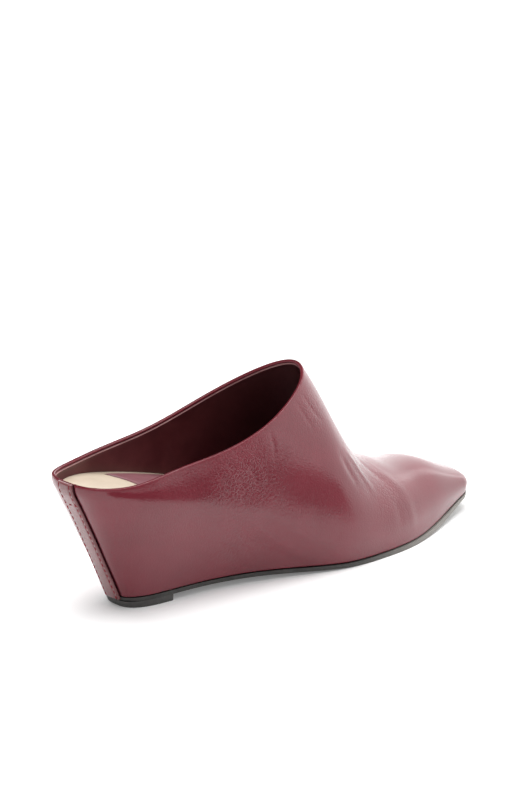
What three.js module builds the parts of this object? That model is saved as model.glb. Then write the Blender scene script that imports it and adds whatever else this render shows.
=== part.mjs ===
// Closed-toe wedge mule, one right shoe, standing empty on its sole.
// Millimetres. +X runs to the toe, +Y to the inner side of the foot, +Z up, the floor is z = 0.
import * as THREE from "three";

// Overall sizes of the shoe
const LENGTH = 252.5;
const BALL_WIDTH = 71;
const BACK_HEIGHT = 61.5;
const INSTEP_HEIGHT = 96.5;
const TOE_SPRING = 7;
const LIFT_HEIGHT = 3.1;
const SOLE_HEIGHT = 2.3;

// The slanted back of the wedge
const SLANT = 24.5;
const SLANT_TOP = 61;
const SLANT_EASE = 5;
const SLANT_POWER = 0.92;
const SLANT_REACH = 125;

// Plan roundings of the shoe's ends
const REAR_ROUND = 41;
const REAR_POWER = 2.6;
const BASE_ROUND = 42;
const BASE_POWER = 2.8;
const TOE_ROUND = 12;
const TOE_POWER = 2.1;
const NOSE_ROUND = 8.5;
const NOSE_POWER = 2;

// Materials and clearances
const WALL = 1.8;
const GAP = 0.3;
const INSOLE_THICKNESS = 2.6;
const PANEL_THICKNESS = 0.6;
const PANEL_MARGIN = 4.6;
const PANEL_START = 38;
const PANEL_BULGE = 6;
const PANEL_TOE_CLEARANCE = 22;
const PANEL_TOE_BULGE = 10;
const WEDGE_EDGE = 2.5;
const SOLE_TAPER = 0.3;
const LIFT_LENGTH = 22;
const LIFT_BACK = 0.7;
const STRIP_WIDTH = 9.4;
const STRIP_THICKNESS = 1;
const STRIP_FOOT = 0.9;

// Shares of the named sizes at stations along the last. along: of LENGTH. centre, right, left,
// inset: of BALL_WIDTH. lift: of LIFT_HEIGHT. spring: of TOE_SPRING. widest and seat: of
// BACK_HEIGHT. crown: of INSTEP_HEIGHT. collar: from BACK_HEIGHT up to INSTEP_HEIGHT. full and
// waist shape the section above and below its widest line. A lift or spring under zero keeps the
// sole flat on the floor there.
const COLUMNS = ["along", "centre", "right", "left", "inset", "lift", "spring", "widest",
  "crown", "full", "waist", "collar", "seat"];
const TABLE = [
  [0.00, -0.009, 0.362, 0.398, 0.137, 1.00, 0.00, 0.860, 0.920, -0.10, 0.6, 0.015, 0.772],
  [0.08, -0.007, 0.348, 0.402, 0.152, 1.00, 0.00, 0.840, 0.930, -0.13, 0.6, 0.005, 0.763],
  [0.16, -0.004, 0.352, 0.414, 0.155, 0.97, 0.00, 0.790, 1.000, -0.14, 0.5, 0.080, 0.710],
  [0.26, 0.000, 0.380, 0.432, 0.147, 0.93, 0.00, 0.705, 1.150, -0.13, 0.6, 0.177, 0.615],
  [0.36, 0.000, 0.420, 0.448, 0.125, 0.80, 0.00, 0.590, 1.228, -0.20, 0.8, 0.374, 0.494],
  [0.46, -0.015, 0.455, 0.470, 0.075, 0.46, 0.00, 0.330, 1.150, -0.50, 0.7, 0.704, 0.322],
  [0.54, -0.020, 0.490, 0.486, 0.030, 0.14, 0.00, 0.205, 0.924, -0.55, 0.4, 1.026, 0.164],
  [0.62, 0.000, 0.500, 0.496, 0.010, -0.02, -0.02, 0.176, 0.582, -0.39, 0.3, 1.430, 0.042],
  [0.70, 0.022, 0.483, 0.500, -0.005, -0.02, -0.03, 0.168, 0.425, -0.14, 0.2, 1.880, 0.000],
  [0.78, 0.045, 0.430, 0.462, -0.008, 0.00, 0.07, 0.166, 0.352, 0.05, 0.2, 2.350, 0.000],
  [0.86, 0.060, 0.354, 0.378, 0.008, 0.00, 0.37, 0.182, 0.316, 0.12, 0.2, 2.800, 0.000],
  [0.93, 0.070, 0.275, 0.285, 0.012, 0.00, 0.79, 0.215, 0.247, 0.12, 0.2, 3.200, 0.000],
  [1.00, 0.082, 0.205, 0.202, 0.012, 0.00, 1.20, 0.222, 0.178, 0.12, 0.2, 3.600, 0.000],
];

// Colours and roughness of the plain preview materials
const BURGUNDY = 0x87404a;
const DARK_BURGUNDY = 0x7a3540;
const MAUVE = 0x8a4a54;
const BEIGE = 0xe8dcc4;
const CORK = 0x9a8a74;
const DARK_GREY = 0x454540;
const GLOSSY = 0.35;
const SATIN = 0.6;
const MATTE = 0.8;

// Mesh fineness
const RIBS = 44;
const BAY_RIBS = 28;
const LOOPS = 22;
const LOOP_POWER = 1.35;
const END_POWER_SHARE = 0.7;
const FINE_SAMPLES = 400;
const CROSS_CELLS = 8;
const WEDGE_LEVELS = 8;
const STRIP_CELLS = 6;
const PANEL_ROWS = 30;
const PROBE = 0.25;
const TINY = 1e-6;
const BISECTIONS = 44;

const mix = (a, b, t) => a + (b - a) * t;
const clamp = (value, low, high) => Math.min(Math.max(value, low), high);
const smooth = (t) => t * t * (3 - 2 * t);

// A natural cubic spline through one column of the table
function splineThrough(name) {
  const x = TABLE.map((row) => row[0]);
  const y = TABLE.map((row) => row[COLUMNS.indexOf(name)]);
  const last = x.length - 1;
  const bend = new Array(last + 1).fill(0);
  const ratio = new Array(last + 1).fill(0);
  for (let i = 1; i < last; i += 1) {
    const before = x[i] - x[i - 1];
    const after = x[i + 1] - x[i];
    const slopeChange = (y[i + 1] - y[i]) / after - (y[i] - y[i - 1]) / before;
    const pivot = 2 * (before + after) - before * ratio[i - 1];
    ratio[i] = after / pivot;
    bend[i] = (6 * slopeChange - before * bend[i - 1]) / pivot;
  }
  for (let i = last - 1; i > 0; i -= 1) {
    bend[i] -= ratio[i] * bend[i + 1];
  }
  return (at) => {
    let i = 0;
    while (i < last - 1 && at > x[i + 1]) i += 1;
    const span = x[i + 1] - x[i];
    const a = (x[i + 1] - at) / span;
    const b = (at - x[i]) / span;
    const cubic = (a ** 3 - a) * bend[i] + (b ** 3 - b) * bend[i + 1];
    return a * y[i] + b * y[i + 1] + (cubic * span * span) / 6;
  };
}

const column = Object.fromEntries(COLUMNS.slice(1).map((name) => [name, splineThrough(name)]));

// Rounds the plan or the profile off over a length from one end
function roundedEnd(distance, length, power) {
  if (distance >= length) return 1;
  return (1 - (1 - Math.max(distance, 0) / length) ** power) ** (1 / power);
}

const lowestSole = (share) => LIFT_HEIGHT * Math.max(column.lift(share), 0)
  + TOE_SPRING * Math.max(column.spring(share), 0);
const featherHeight = (share) => SOLE_HEIGHT + lowestSole(share);
const seatHeight = (share) => featherHeight(share) + INSOLE_THICKNESS
  + BACK_HEIGHT * Math.max(column.seat(share), 0);

// The half widths and heights that describe one station
function station(share) {
  const x = share * LENGTH;
  const ahead = LENGTH - x;
  const toe = roundedEnd(ahead, TOE_ROUND, TOE_POWER);
  const nose = roundedEnd(ahead, NOSE_ROUND, NOSE_POWER);
  const rear = roundedEnd(x, REAR_ROUND, REAR_POWER) * toe;
  const base = roundedEnd(x, BASE_ROUND, BASE_POWER) * toe;
  const feather = featherHeight(share);
  const side = (name) => {
    const full = BALL_WIDTH * column[name](share);
    return { wide: full * rear, base: (full - BALL_WIDTH * column.inset(share)) * base };
  };
  return {
    x,
    centre: BALL_WIDTH * column.centre(share),
    right: side("right"),
    left: side("left"),
    feather,
    widest: mix(feather, BACK_HEIGHT * column.widest(share), nose),
    crown: mix(feather, INSTEP_HEIGHT * column.crown(share), nose),
    fullness: column.full(share),
    waist: column.waist(share),
  };
}

// How far the wedge's slanted back pushes a point forward
function slantShift(x, z) {
  const fade = smooth(clamp(1 - x / SLANT_REACH, 0, 1));
  const below = Math.max(SLANT_TOP - z, 0);
  const eased = below < SLANT_EASE ? below ** 2 / (2 * SLANT_EASE) : below - SLANT_EASE / 2;
  const reach = SLANT_TOP - SOLE_HEIGHT - LIFT_HEIGHT - SLANT_EASE / 2;
  return fade * SLANT * (eased / reach) ** SLANT_POWER;
}

// A point of the outer surface at a station, side and height
function skin(share, side, z) {
  const at = station(share);
  const half = at[side];
  let y;
  if (z < at.widest) {
    const low = clamp((z - at.feather) / Math.max(at.widest - at.feather, TINY), 0, 1);
    const bulge = mix(Math.sin((low * Math.PI) / 2), smooth(low), at.waist);
    y = mix(half.base, half.wide, bulge);
  } else {
    const high = clamp((z - at.widest) / Math.max(at.crown - at.widest, TINY), 0, 1) ** 2;
    y = half.wide * Math.sqrt(Math.max((1 - high) * (1 + at.fullness * high), 0));
  }
  const sign = side === "left" ? 1 : -1;
  return new THREE.Vector3(at.x + slantShift(at.x, z), at.centre + sign * y, z);
}

// The share at which a falling function of the share reaches zero
function crossing(falling, low = 0, high = 1) {
  let from = low;
  let to = high;
  for (let i = 0; i < BISECTIONS; i += 1) {
    const middle = (from + to) / 2;
    if (falling(middle) > 0) from = middle;
    else to = middle;
  }
  return (from + to) / 2;
}

const ridgeShare = (level) => crossing((share) => station(share).crown - level(share));
const crowded = (t) => mix(t, (1 - Math.cos(Math.PI * t)) / 2, END_POWER_SHARE);

// Points at equal crowded steps, or at stated distances, along a fine polyline
function pick(points, wanted) {
  const run = [0];
  for (let i = 1; i < points.length; i += 1) {
    run.push(run[i - 1] + points[i].distanceTo(points[i - 1]));
  }
  const total = run[run.length - 1];
  let i = 0;
  return wanted(total).map((distance) => {
    while (i < points.length - 2 && run[i + 1] < distance) i += 1;
    const t = (distance - run[i]) / Math.max(run[i + 1] - run[i], TINY);
    return points[i].clone().lerp(points[i + 1], clamp(t, 0, 1));
  });
}

// The fine curve along one side of the skin at a level, from the back seam to a share
function sideCurve(side, level, end) {
  return Array.from({ length: FINE_SAMPLES + 1 }, (_, i) => {
    const share = (end * (1 - Math.cos((Math.PI * i) / FINE_SAMPLES))) / 2;
    return skin(share, side, level(share));
  });
}

const evenly = (count) => (total) => Array.from({ length: count + 1 },
  (_, i) => total * crowded(i / count));

// A closed loop round the skin: back seam, right side, ridge, left side
function loopAt(level) {
  const end = ridgeShare(level);
  const right = pick(sideCurve("right", level, end), evenly(RIBS));
  const left = pick(sideCurve("left", level, end), evenly(RIBS));
  return [...right, ...left.slice(1, -1).reverse()];
}

// An open curve round the back, between the points at one x on the left and on the right
function bayTo(x) {
  return (level) => {
    const end = crossing((share) => x - skin(share, "right", level(share)).x);
    const right = pick(sideCurve("right", level, end), evenly(BAY_RIBS));
    const left = pick(sideCurve("left", level, end), evenly(BAY_RIBS));
    return [...left.reverse(), ...right.slice(1)];
  };
}

// A short open curve across the back seam, as wide as the strip
function seamAt(level) {
  const end = ridgeShare(level);
  const steps = () => Array.from({ length: STRIP_CELLS / 2 + 1 },
    (_, i) => (STRIP_WIDTH * i) / STRIP_CELLS);
  const right = pick(sideCurve("right", level, end), steps);
  const left = pick(sideCurve("left", level, end), steps);
  return [...left.reverse(), ...right.slice(1)];
}

// Outward unit normals of a curve on the skin, from its neighbours just below and above
function skinNormals(curveAt, level, curve, closed) {
  const below = curveAt((share) => level(share) - PROBE);
  const above = curveAt((share) => level(share) + PROBE);
  const count = curve.length;
  return curve.map((_, i) => {
    const next = closed ? (i + 1) % count : Math.min(i + 1, count - 1);
    const back = closed ? (i + count - 1) % count : Math.max(i - 1, 0);
    const along = curve[next].clone().sub(curve[back]);
    const up = above[i].clone().sub(below[i]);
    return along.cross(up).normalize();
  });
}

// A curve of the skin moved along the true normal; positive is outward
function moved(curveAt, level, distance, closed) {
  const curve = curveAt(level);
  const normals = skinNormals(curveAt, level, curve, closed);
  return curve.map((point, i) => point.clone().addScaledVector(normals[i], distance));
}

// A curve of the skin moved inward at its own height
function insideAtHeight(curveAt, level, distance, closed) {
  const curve = curveAt(level);
  const normals = skinNormals(curveAt, level, curve, closed);
  return curve.map((point, i) => {
    const flat = normals[i].clone().setZ(0);
    return point.clone().addScaledVector(flat, -distance / flat.lengthSq());
  });
}

// Collects points and triangles of one closed solid
class Solid {
  constructor() {
    this.points = [];
    this.faces = [];
  }

  add(points) {
    const start = this.points.length;
    this.points.push(...points);
    return points.map((_, i) => start + i);
  }

  // Faces between two rows of points; they look along the row crossed with the step up
  band(lower, upper, closed = false) {
    const count = lower.length;
    for (let i = 0; i < (closed ? count : count - 1); i += 1) {
      const j = (i + 1) % count;
      this.faces.push([lower[i], lower[j], upper[j]], [lower[i], upper[j], upper[i]]);
    }
  }

  sheet(rows) {
    for (let i = 0; i + 1 < rows.length; i += 1) this.band(rows[i], rows[i + 1]);
  }

  mesh(name, color, roughness) {
    const geometry = new THREE.BufferGeometry();
    const flat = this.points.flatMap((point) => point.toArray());
    geometry.setAttribute("position", new THREE.Float32BufferAttribute(flat, 3));
    geometry.setIndex(this.faces.filter(([a, b, c]) => a !== b && b !== c && c !== a).flat());
    geometry.computeVertexNormals();
    const mesh = new THREE.Mesh(geometry, new THREE.MeshStandardMaterial({ color, roughness }));
    mesh.name = name;
    return mesh;
  }
}

// The level that lies a part of the way from the feather line to the collar
const collarHeight = (share) => mix(BACK_HEIGHT, INSTEP_HEIGHT, column.collar(share));
const levelOf = (part) => (share) => mix(featherHeight(share), collarHeight(share), part);

// The leather upper: one closed shell between the skin and its inner side
function makeUpper() {
  const solid = new Solid();
  const outer = [];
  const inner = [];
  for (let i = 0; i <= LOOPS; i += 1) {
    const level = levelOf((i / LOOPS) ** LOOP_POWER);
    outer.push(solid.add(loopAt(level)));
    const wall = i === 0
      ? insideAtHeight(loopAt, level, WALL, true)
      : moved(loopAt, level, -WALL, true);
    inner.push(solid.add(wall));
  }
  for (let i = 0; i < LOOPS; i += 1) {
    solid.band(outer[i], outer[i + 1], true);
    solid.band(inner[i + 1], inner[i], true);
  }
  solid.band(outer[LOOPS], inner[LOOPS], true);
  solid.band(inner[0], outer[0], true);
  return solid.mesh("upper", BURGUNDY, GLOSSY);
}

// The strip over the back seam, from the lift over the sole's edge up to the collar
function makeBackStrip() {
  const stripFoot = (share) => lowestSole(share) + STRIP_FOOT;
  const solid = new Solid();
  const over = [];
  const under = [];
  for (let i = 0; i <= LOOPS; i += 1) {
    const level = (share) => mix(stripFoot(share), collarHeight(share), i / LOOPS);
    under.push(solid.add(moved(seamAt, level, GAP, false)));
    over.push(solid.add(moved(seamAt, level, GAP + STRIP_THICKNESS, false)));
  }
  closePlate(solid, over, under);
  return solid.mesh("back_strip", DARK_BURGUNDY, GLOSSY);
}

// Closes the space between two sheets of equal rows, the first of them outward
function closePlate(solid, over, under) {
  const last = over.length - 1;
  const edge = (rows, pickFrom) => rows.map(pickFrom);
  const first = (row) => row[0];
  const final = (row) => row[row.length - 1];
  solid.sheet(over);
  solid.sheet([...under].reverse());
  solid.sheet([under[0], over[0]]);
  solid.sheet([over[last], under[last]]);
  solid.sheet([edge(over, first), edge(under, first)]);
  solid.sheet([edge(under, final), edge(over, final)]);
}

// The right and the left chain of an outline, both from the back seam forward
function chainsOf(outline, closed) {
  if (closed) {
    const half = outline.length / 2;
    const left = [...outline.slice(half), outline[0]].reverse();
    return { right: outline.slice(0, half + 1), left };
  }
  const middle = (outline.length - 1) / 2;
  return { right: outline.slice(middle), left: outline.slice(0, middle + 1).reverse() };
}

// Fills a stack of outlines, lowest first; an open stack gets a flat front
function makeStack({ name, outlines, topHeight, lowHeight, closed, color, roughness }) {
  const solid = new Solid();
  const rings = outlines.map((outline) => solid.add(outline));
  const across = (from, to, height) => {
    if (from === to) return new Array(CROSS_CELLS + 1).fill(from);
    const inside = [];
    for (let j = 1; j < CROSS_CELLS; j += 1) {
      const point = solid.points[from].clone().lerp(solid.points[to], j / CROSS_CELLS);
      inside.push(height ? point.setZ(height(point.x)) : point);
    }
    return [from, ...solid.add(inside), to];
  };
  const cover = (ring, height) => {
    const { right, left } = chainsOf(ring, closed);
    return right.map((start, i) => across(start, left[i], height));
  };
  const low = cover(rings[0], lowHeight);
  const top = cover(rings[rings.length - 1], topHeight);
  solid.sheet([...top].reverse());
  solid.sheet(low);
  for (let k = 0; k + 1 < rings.length; k += 1) solid.band(rings[k], rings[k + 1], closed);
  if (!closed) {
    const front = rings.slice(1, -1).map((ring) => across(ring[ring.length - 1], ring[0]));
    solid.sheet([low[low.length - 1], ...front, top[top.length - 1]]);
  }
  return solid.mesh(name, color, roughness);
}

// A height by share, turned into a height by x along the shoe
function heightByX(level) {
  const xAt = (share) => share * LENGTH + slantShift(share * LENGTH, level(share));
  return (x) => level(crossing((share) => x - xAt(share)));
}

const raised = (level, by) => (share) => level(share) + by;
const insoleUnder = raised(seatHeight, -INSOLE_THICKNESS);
const insoleTopByX = heightByX(seatHeight);

function makeInsole() {
  const ring = (level) => insideAtHeight(loopAt, level, WALL + GAP, true);
  return makeStack({
    name: "insole",
    outlines: [ring(insoleUnder), ring(seatHeight)],
    topHeight: insoleTopByX,
    lowHeight: heightByX(insoleUnder),
    closed: true,
    color: BEIGE,
    roughness: SATIN,
  });
}

// The half of the insole's top outline on one side, as y by x
function insoleEdge(side) {
  const chain = chainsOf(insideAtHeight(loopAt, seatHeight, WALL + GAP, true), true)[side];
  return (x) => {
    let i = 0;
    while (i < chain.length - 2 && chain[i + 1].x < x) i += 1;
    const t = (x - chain[i].x) / (chain[i + 1].x - chain[i].x);
    return mix(chain[i].y, chain[i + 1].y, t);
  };
}

// The sock's coloured front panel, let in ahead of the heel pad
function makeSockPanel() {
  const solid = new Solid();
  const rightEdge = insoleEdge("right");
  const leftEdge = insoleEdge("left");
  const rows = (height) => Array.from({ length: PANEL_ROWS + 1 }, (_, i) => {
    const points = Array.from({ length: CROSS_CELLS + 1 }, (_unused, j) => {
      const bow = 1 - (2 * j / CROSS_CELLS - 1) ** 2;
      const start = PANEL_START + PANEL_BULGE * bow;
      const end = LENGTH - PANEL_TOE_CLEARANCE + PANEL_TOE_BULGE * bow;
      const x = mix(start, end, i / PANEL_ROWS);
      const right = rightEdge(x) + PANEL_MARGIN;
      const y = mix(right, leftEdge(x) - PANEL_MARGIN, j / CROSS_CELLS);
      return new THREE.Vector3(x, y, insoleTopByX(x) + height);
    });
    return solid.add(points);
  }).reverse();
  closePlate(solid, rows(GAP + PANEL_THICKNESS), rows(GAP));
  return solid.mesh("sock_panel", MAUVE, SATIN);
}

// The covered wedge that fills the upper below the insole, forward to its thin edge
function makeWedge() {
  const top = raised(insoleUnder, -GAP);
  const front = LENGTH * crossing((share) => top(share) - featherHeight(share) - WEDGE_EDGE);
  const outlines = Array.from({ length: WEDGE_LEVELS + 1 }, (_, k) => {
    const level = (share) => mix(featherHeight(share), top(share), k / WEDGE_LEVELS);
    return insideAtHeight(bayTo(front), level, WALL + GAP, false);
  });
  return makeStack({
    name: "wedge",
    outlines,
    topHeight: heightByX(top),
    lowHeight: heightByX(featherHeight),
    closed: false,
    color: CORK,
    roughness: MATTE,
  });
}

function makeOutsole() {
  const top = raised(featherHeight, -GAP);
  return makeStack({
    name: "outsole",
    outlines: [
      insideAtHeight(loopAt, lowestSole, SOLE_TAPER, true),
      loopAt(top),
    ],
    topHeight: heightByX(top),
    lowHeight: heightByX(lowestSole),
    closed: true,
    color: DARK_GREY,
    roughness: MATTE,
  });
}

// The heel's wearing piece on the floor
function makeTopLift() {
  const top = raised(lowestSole, -GAP);
  const floor = () => 0;
  const front = skin(0, "right", 0).x + LIFT_LENGTH;
  const stretch = (LIFT_LENGTH + LIFT_BACK) / LIFT_LENGTH;
  const ring = (level) => insideAtHeight(bayTo(front), level, SOLE_TAPER, false)
    .map((point) => point.setX(mix(front, point.x, stretch)));
  return makeStack({
    name: "top_lift",
    outlines: [ring(floor), ring(top)],
    topHeight: heightByX(top),
    lowHeight: floor,
    closed: false,
    color: DARK_GREY,
    roughness: MATTE,
  });
}

const shoe = new THREE.Group();
shoe.add(
  makeUpper(),
  makeBackStrip(),
  makeInsole(),
  makeSockPanel(),
  makeWedge(),
  makeOutsole(),
  makeTopLift(),
);

// The frame's origin is on the floor under the middle of the whole shoe
const middle = new THREE.Box3().setFromObject(shoe).getCenter(new THREE.Vector3());
shoe.traverse((part) => {
  if (part.isMesh) part.geometry.translate(-middle.x, -middle.y, 0);
});

export default shoe;
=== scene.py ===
"""A closed-toe wedge mule, one right shoe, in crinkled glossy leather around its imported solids."""

import math

import bpy
import numpy as np
from mathutils import Matrix, Vector, noise


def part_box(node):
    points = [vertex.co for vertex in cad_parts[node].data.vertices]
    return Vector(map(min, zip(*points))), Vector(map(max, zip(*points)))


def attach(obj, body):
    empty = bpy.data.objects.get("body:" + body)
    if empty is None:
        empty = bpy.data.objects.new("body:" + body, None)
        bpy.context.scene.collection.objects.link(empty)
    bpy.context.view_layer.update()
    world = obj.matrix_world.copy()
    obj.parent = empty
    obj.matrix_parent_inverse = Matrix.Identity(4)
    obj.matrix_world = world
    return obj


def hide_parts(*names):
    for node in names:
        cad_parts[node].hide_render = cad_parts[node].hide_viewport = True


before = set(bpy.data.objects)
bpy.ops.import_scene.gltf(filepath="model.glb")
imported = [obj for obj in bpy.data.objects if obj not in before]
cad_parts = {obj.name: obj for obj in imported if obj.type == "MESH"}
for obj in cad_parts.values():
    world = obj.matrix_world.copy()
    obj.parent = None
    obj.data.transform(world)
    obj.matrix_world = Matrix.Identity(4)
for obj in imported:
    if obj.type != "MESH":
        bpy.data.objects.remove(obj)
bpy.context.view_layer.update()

# ---------------------------------------------------------------- sizes of the shoe, millimetres

LENGTH = 252.5
BALL_WIDTH = 71.0
BACK_HEIGHT = 61.5
INSTEP_HEIGHT = 96.5
TOE_SPRING = 7.0
LIFT_HEIGHT = 3.1
SOLE_HEIGHT = 2.3
SLANT = 24.5
SLANT_TOP = 61.0
SLANT_EASE = 5.0
SLANT_POWER = 0.92
SLANT_REACH = 125.0
REAR_ROUND, REAR_POWER = 41.0, 2.6
BASE_ROUND, BASE_POWER = 42.0, 2.8
TOE_ROUND, TOE_POWER = 12.0, 2.1
NOSE_ROUND, NOSE_POWER = 8.5, 2.0
WALL = 1.8
GAP = 0.3
INSOLE_THICKNESS = 2.6
PANEL_THICKNESS = 0.6
PANEL_MARGIN = 4.6
PANEL_START = 38.0
PANEL_BULGE = 6.0
PANEL_TOE_CLEARANCE = 22.0
PANEL_TOE_BULGE = 10.0
SOLE_TAPER = 0.3
SOLE_REACH = 1.6
SOLE_REACH_POWER = 2.6
LIFT_LENGTH = 22.0
LIFT_BACK = 0.7
STRIP_WIDTH = 9.4
STRIP_THICKNESS = 1.0
STRIP_FOOT = 0.9

# Sizes that only the dressed shoe has: the shift of the panel's rear edge at its near and far ends,
# the seam between sole and lift, and the softened edges
PANEL_TILT = (-7.0, 0.5)
LIFT_GAP = 0.03
INSOLE_BEVEL, SOLE_BEVEL, LIFT_BEVEL = 0.5, 0.25, 0.15
BEVEL_SEGMENTS, BEVEL_ANGLE = 3, 50

# Shares of the named sizes at stations along the last, as the solids have them
COLUMNS = ("along", "centre", "right", "left", "inset", "lift", "spring", "widest",
           "crown", "full", "waist", "collar", "seat")
TABLE = np.array([
    [0.00, -0.009, 0.362, 0.398, 0.137, 1.00, 0.00, 0.860, 0.920, -0.10, 0.6, 0.015, 0.772],
    [0.08, -0.007, 0.348, 0.402, 0.152, 1.00, 0.00, 0.840, 0.930, -0.13, 0.6, 0.005, 0.763],
    [0.16, -0.004, 0.352, 0.414, 0.155, 0.97, 0.00, 0.790, 1.000, -0.14, 0.5, 0.080, 0.710],
    [0.26, 0.000, 0.380, 0.432, 0.147, 0.93, 0.00, 0.705, 1.150, -0.13, 0.6, 0.177, 0.615],
    [0.36, 0.000, 0.420, 0.448, 0.125, 0.80, 0.00, 0.590, 1.228, -0.20, 0.8, 0.374, 0.494],
    [0.46, -0.015, 0.455, 0.470, 0.075, 0.46, 0.00, 0.330, 1.150, -0.50, 0.7, 0.704, 0.322],
    [0.54, -0.020, 0.490, 0.486, 0.030, 0.14, 0.00, 0.205, 0.924, -0.55, 0.4, 1.026, 0.164],
    [0.62, 0.000, 0.500, 0.496, 0.010, -0.02, -0.02, 0.176, 0.582, -0.39, 0.3, 1.430, 0.042],
    [0.70, 0.022, 0.483, 0.500, -0.005, -0.02, -0.03, 0.168, 0.425, -0.14, 0.2, 1.880, 0.000],
    [0.78, 0.045, 0.430, 0.462, -0.008, 0.00, 0.07, 0.166, 0.352, 0.05, 0.2, 2.350, 0.000],
    [0.86, 0.060, 0.354, 0.378, 0.008, 0.00, 0.37, 0.182, 0.316, 0.12, 0.2, 2.800, 0.000],
    [0.93, 0.070, 0.275, 0.285, 0.012, 0.00, 0.79, 0.215, 0.247, 0.12, 0.2, 3.200, 0.000],
    [1.00, 0.082, 0.205, 0.202, 0.012, 0.00, 1.20, 0.222, 0.178, 0.12, 0.2, 3.600, 0.000],
])

# Mesh fineness and numerical limits
SIDE_RIBS = 250
RING_RIBS = 150
FINE_SAMPLES = 500
CROWDING = 0.35
PROBE = 0.25
TINY = 1e-9
BISECTIONS = 44
HEIGHT_SAMPLES = 2001
MM = 0.001


# ---------------------------------------------------------------- the surface of the last

def mix(a, b, t):
    return a + (b - a) * t


def smooth(t):
    return t * t * (3 - 2 * t)


def unit(vectors):
    return vectors / np.maximum(np.linalg.norm(vectors, axis=-1, keepdims=True), TINY)


def spline_bends(heights):
    """Second derivatives of the natural cubic spline through one column of the table."""
    along = TABLE[:, 0]
    count = len(along)
    steps = np.diff(along)
    system = np.eye(count)
    change = np.zeros(count)
    for i in range(1, count - 1):
        system[i, i - 1:i + 2] = steps[i - 1], 2 * (steps[i - 1] + steps[i]), steps[i]
        rise = (heights[i + 1] - heights[i]) / steps[i]
        change[i] = 6 * (rise - (heights[i] - heights[i - 1]) / steps[i - 1])
    return np.linalg.solve(system, change)


BENDS = {name: spline_bends(TABLE[:, i]) for i, name in enumerate(COLUMNS) if i}


def column(name, share):
    """A column of the table at any share of the length."""
    along = TABLE[:, 0]
    heights = TABLE[:, COLUMNS.index(name)]
    i = np.clip(np.searchsorted(along, share, side="right") - 1, 0, len(along) - 2)
    span = along[i + 1] - along[i]
    a = (along[i + 1] - share) / span
    b = (share - along[i]) / span
    cubic = (a ** 3 - a) * BENDS[name][i] + (b ** 3 - b) * BENDS[name][i + 1]
    return a * heights[i] + b * heights[i + 1] + cubic * span * span / 6


def rounded_end(distance, length, power):
    inside = np.clip(1 - distance / length, 0, 1)
    return np.where(distance < length, (1 - inside ** power) ** (1 / power), 1.0)


def lowest_sole(share):
    return (LIFT_HEIGHT * np.maximum(column("lift", share), 0)
            + TOE_SPRING * np.maximum(column("spring", share), 0))


def feather_height(share):
    return SOLE_HEIGHT + lowest_sole(share)


def collar_height(share):
    return mix(BACK_HEIGHT, INSTEP_HEIGHT, column("collar", share))


def seat_height(share):
    return feather_height(share) + INSOLE_THICKNESS + BACK_HEIGHT * np.maximum(column("seat", share), 0)


def crown_height(share):
    nose = rounded_end(LENGTH - share * LENGTH, NOSE_ROUND, NOSE_POWER)
    return mix(feather_height(share), INSTEP_HEIGHT * column("crown", share), nose)


def slant_shift(x, z):
    fade = smooth(np.clip(1 - x / SLANT_REACH, 0, 1))
    below = np.maximum(SLANT_TOP - z, 0)
    eased = np.where(below < SLANT_EASE, below ** 2 / (2 * SLANT_EASE), below - SLANT_EASE / 2)
    reach = SLANT_TOP - SOLE_HEIGHT - LIFT_HEIGHT - SLANT_EASE / 2
    return fade * SLANT * (eased / reach) ** SLANT_POWER


def skin(share, side, z):
    """Points of the outer surface, at shares, one side and heights."""
    x = share * LENGTH
    ahead = LENGTH - x
    toe = rounded_end(ahead, TOE_ROUND, TOE_POWER)
    nose = rounded_end(ahead, NOSE_ROUND, NOSE_POWER)
    full = BALL_WIDTH * column(side, share)
    wide = full * rounded_end(x, REAR_ROUND, REAR_POWER) * toe
    base = (full - BALL_WIDTH * column("inset", share)) * rounded_end(x, BASE_ROUND, BASE_POWER) * toe
    feather = feather_height(share)
    widest = mix(feather, BACK_HEIGHT * column("widest", share), nose)
    crown = crown_height(share)
    low = np.clip((z - feather) / np.maximum(widest - feather, TINY), 0, 1)
    bulge = mix(np.sin(low * np.pi / 2), smooth(low), column("waist", share))
    high = np.clip((z - widest) / np.maximum(crown - widest, TINY), 0, 1) ** 2
    above = wide * np.sqrt(np.maximum((1 - high) * (1 + column("full", share) * high), 0))
    y = np.where(z < widest, mix(base, wide, bulge), above)
    sign = 1 if side == "left" else -1
    return np.stack([x + slant_shift(x, z), BALL_WIDTH * column("centre", share) + sign * y, z], -1)


def crossing(falling, count):
    """For each of count rows, the share at which a falling function reaches zero."""
    low, high = np.zeros(count), np.ones(count)
    for _ in range(BISECTIONS):
        middle = (low + high) / 2
        above = falling(middle) > 0
        low, high = np.where(above, middle, low), np.where(above, high, middle)
    return (low + high) / 2


def levels(parts, drops):
    """Height functions that run from the feather line to the collar, less a drop in millimetres."""
    parts, drops = np.asarray(parts, float), np.asarray(drops, float)

    def level(share):
        extra = (1,) * (share.ndim - 1)
        part, drop = parts.reshape(-1, *extra), drops.reshape(-1, *extra)
        return mix(feather_height(share), collar_height(share), part) - drop
    return level


def resampled(lines, ribs, ends=None):
    """Each line again with equal crowded steps, or out to a distance along it."""
    t = np.linspace(0, 1, ribs + 1)
    wanted = mix(t, (1 - np.cos(np.pi * t)) / 2, CROWDING if ends is None else 0)
    result = np.empty((len(lines), ribs + 1, 3))
    for row, line in enumerate(lines):
        run = np.concatenate([[0], np.cumsum(np.linalg.norm(np.diff(line, axis=0), axis=1))])
        goal = wanted * (run[-1] if ends is None else ends)
        for k in range(3):
            result[row, :, k] = np.interp(goal, run, line[:, k])
    return result


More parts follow.
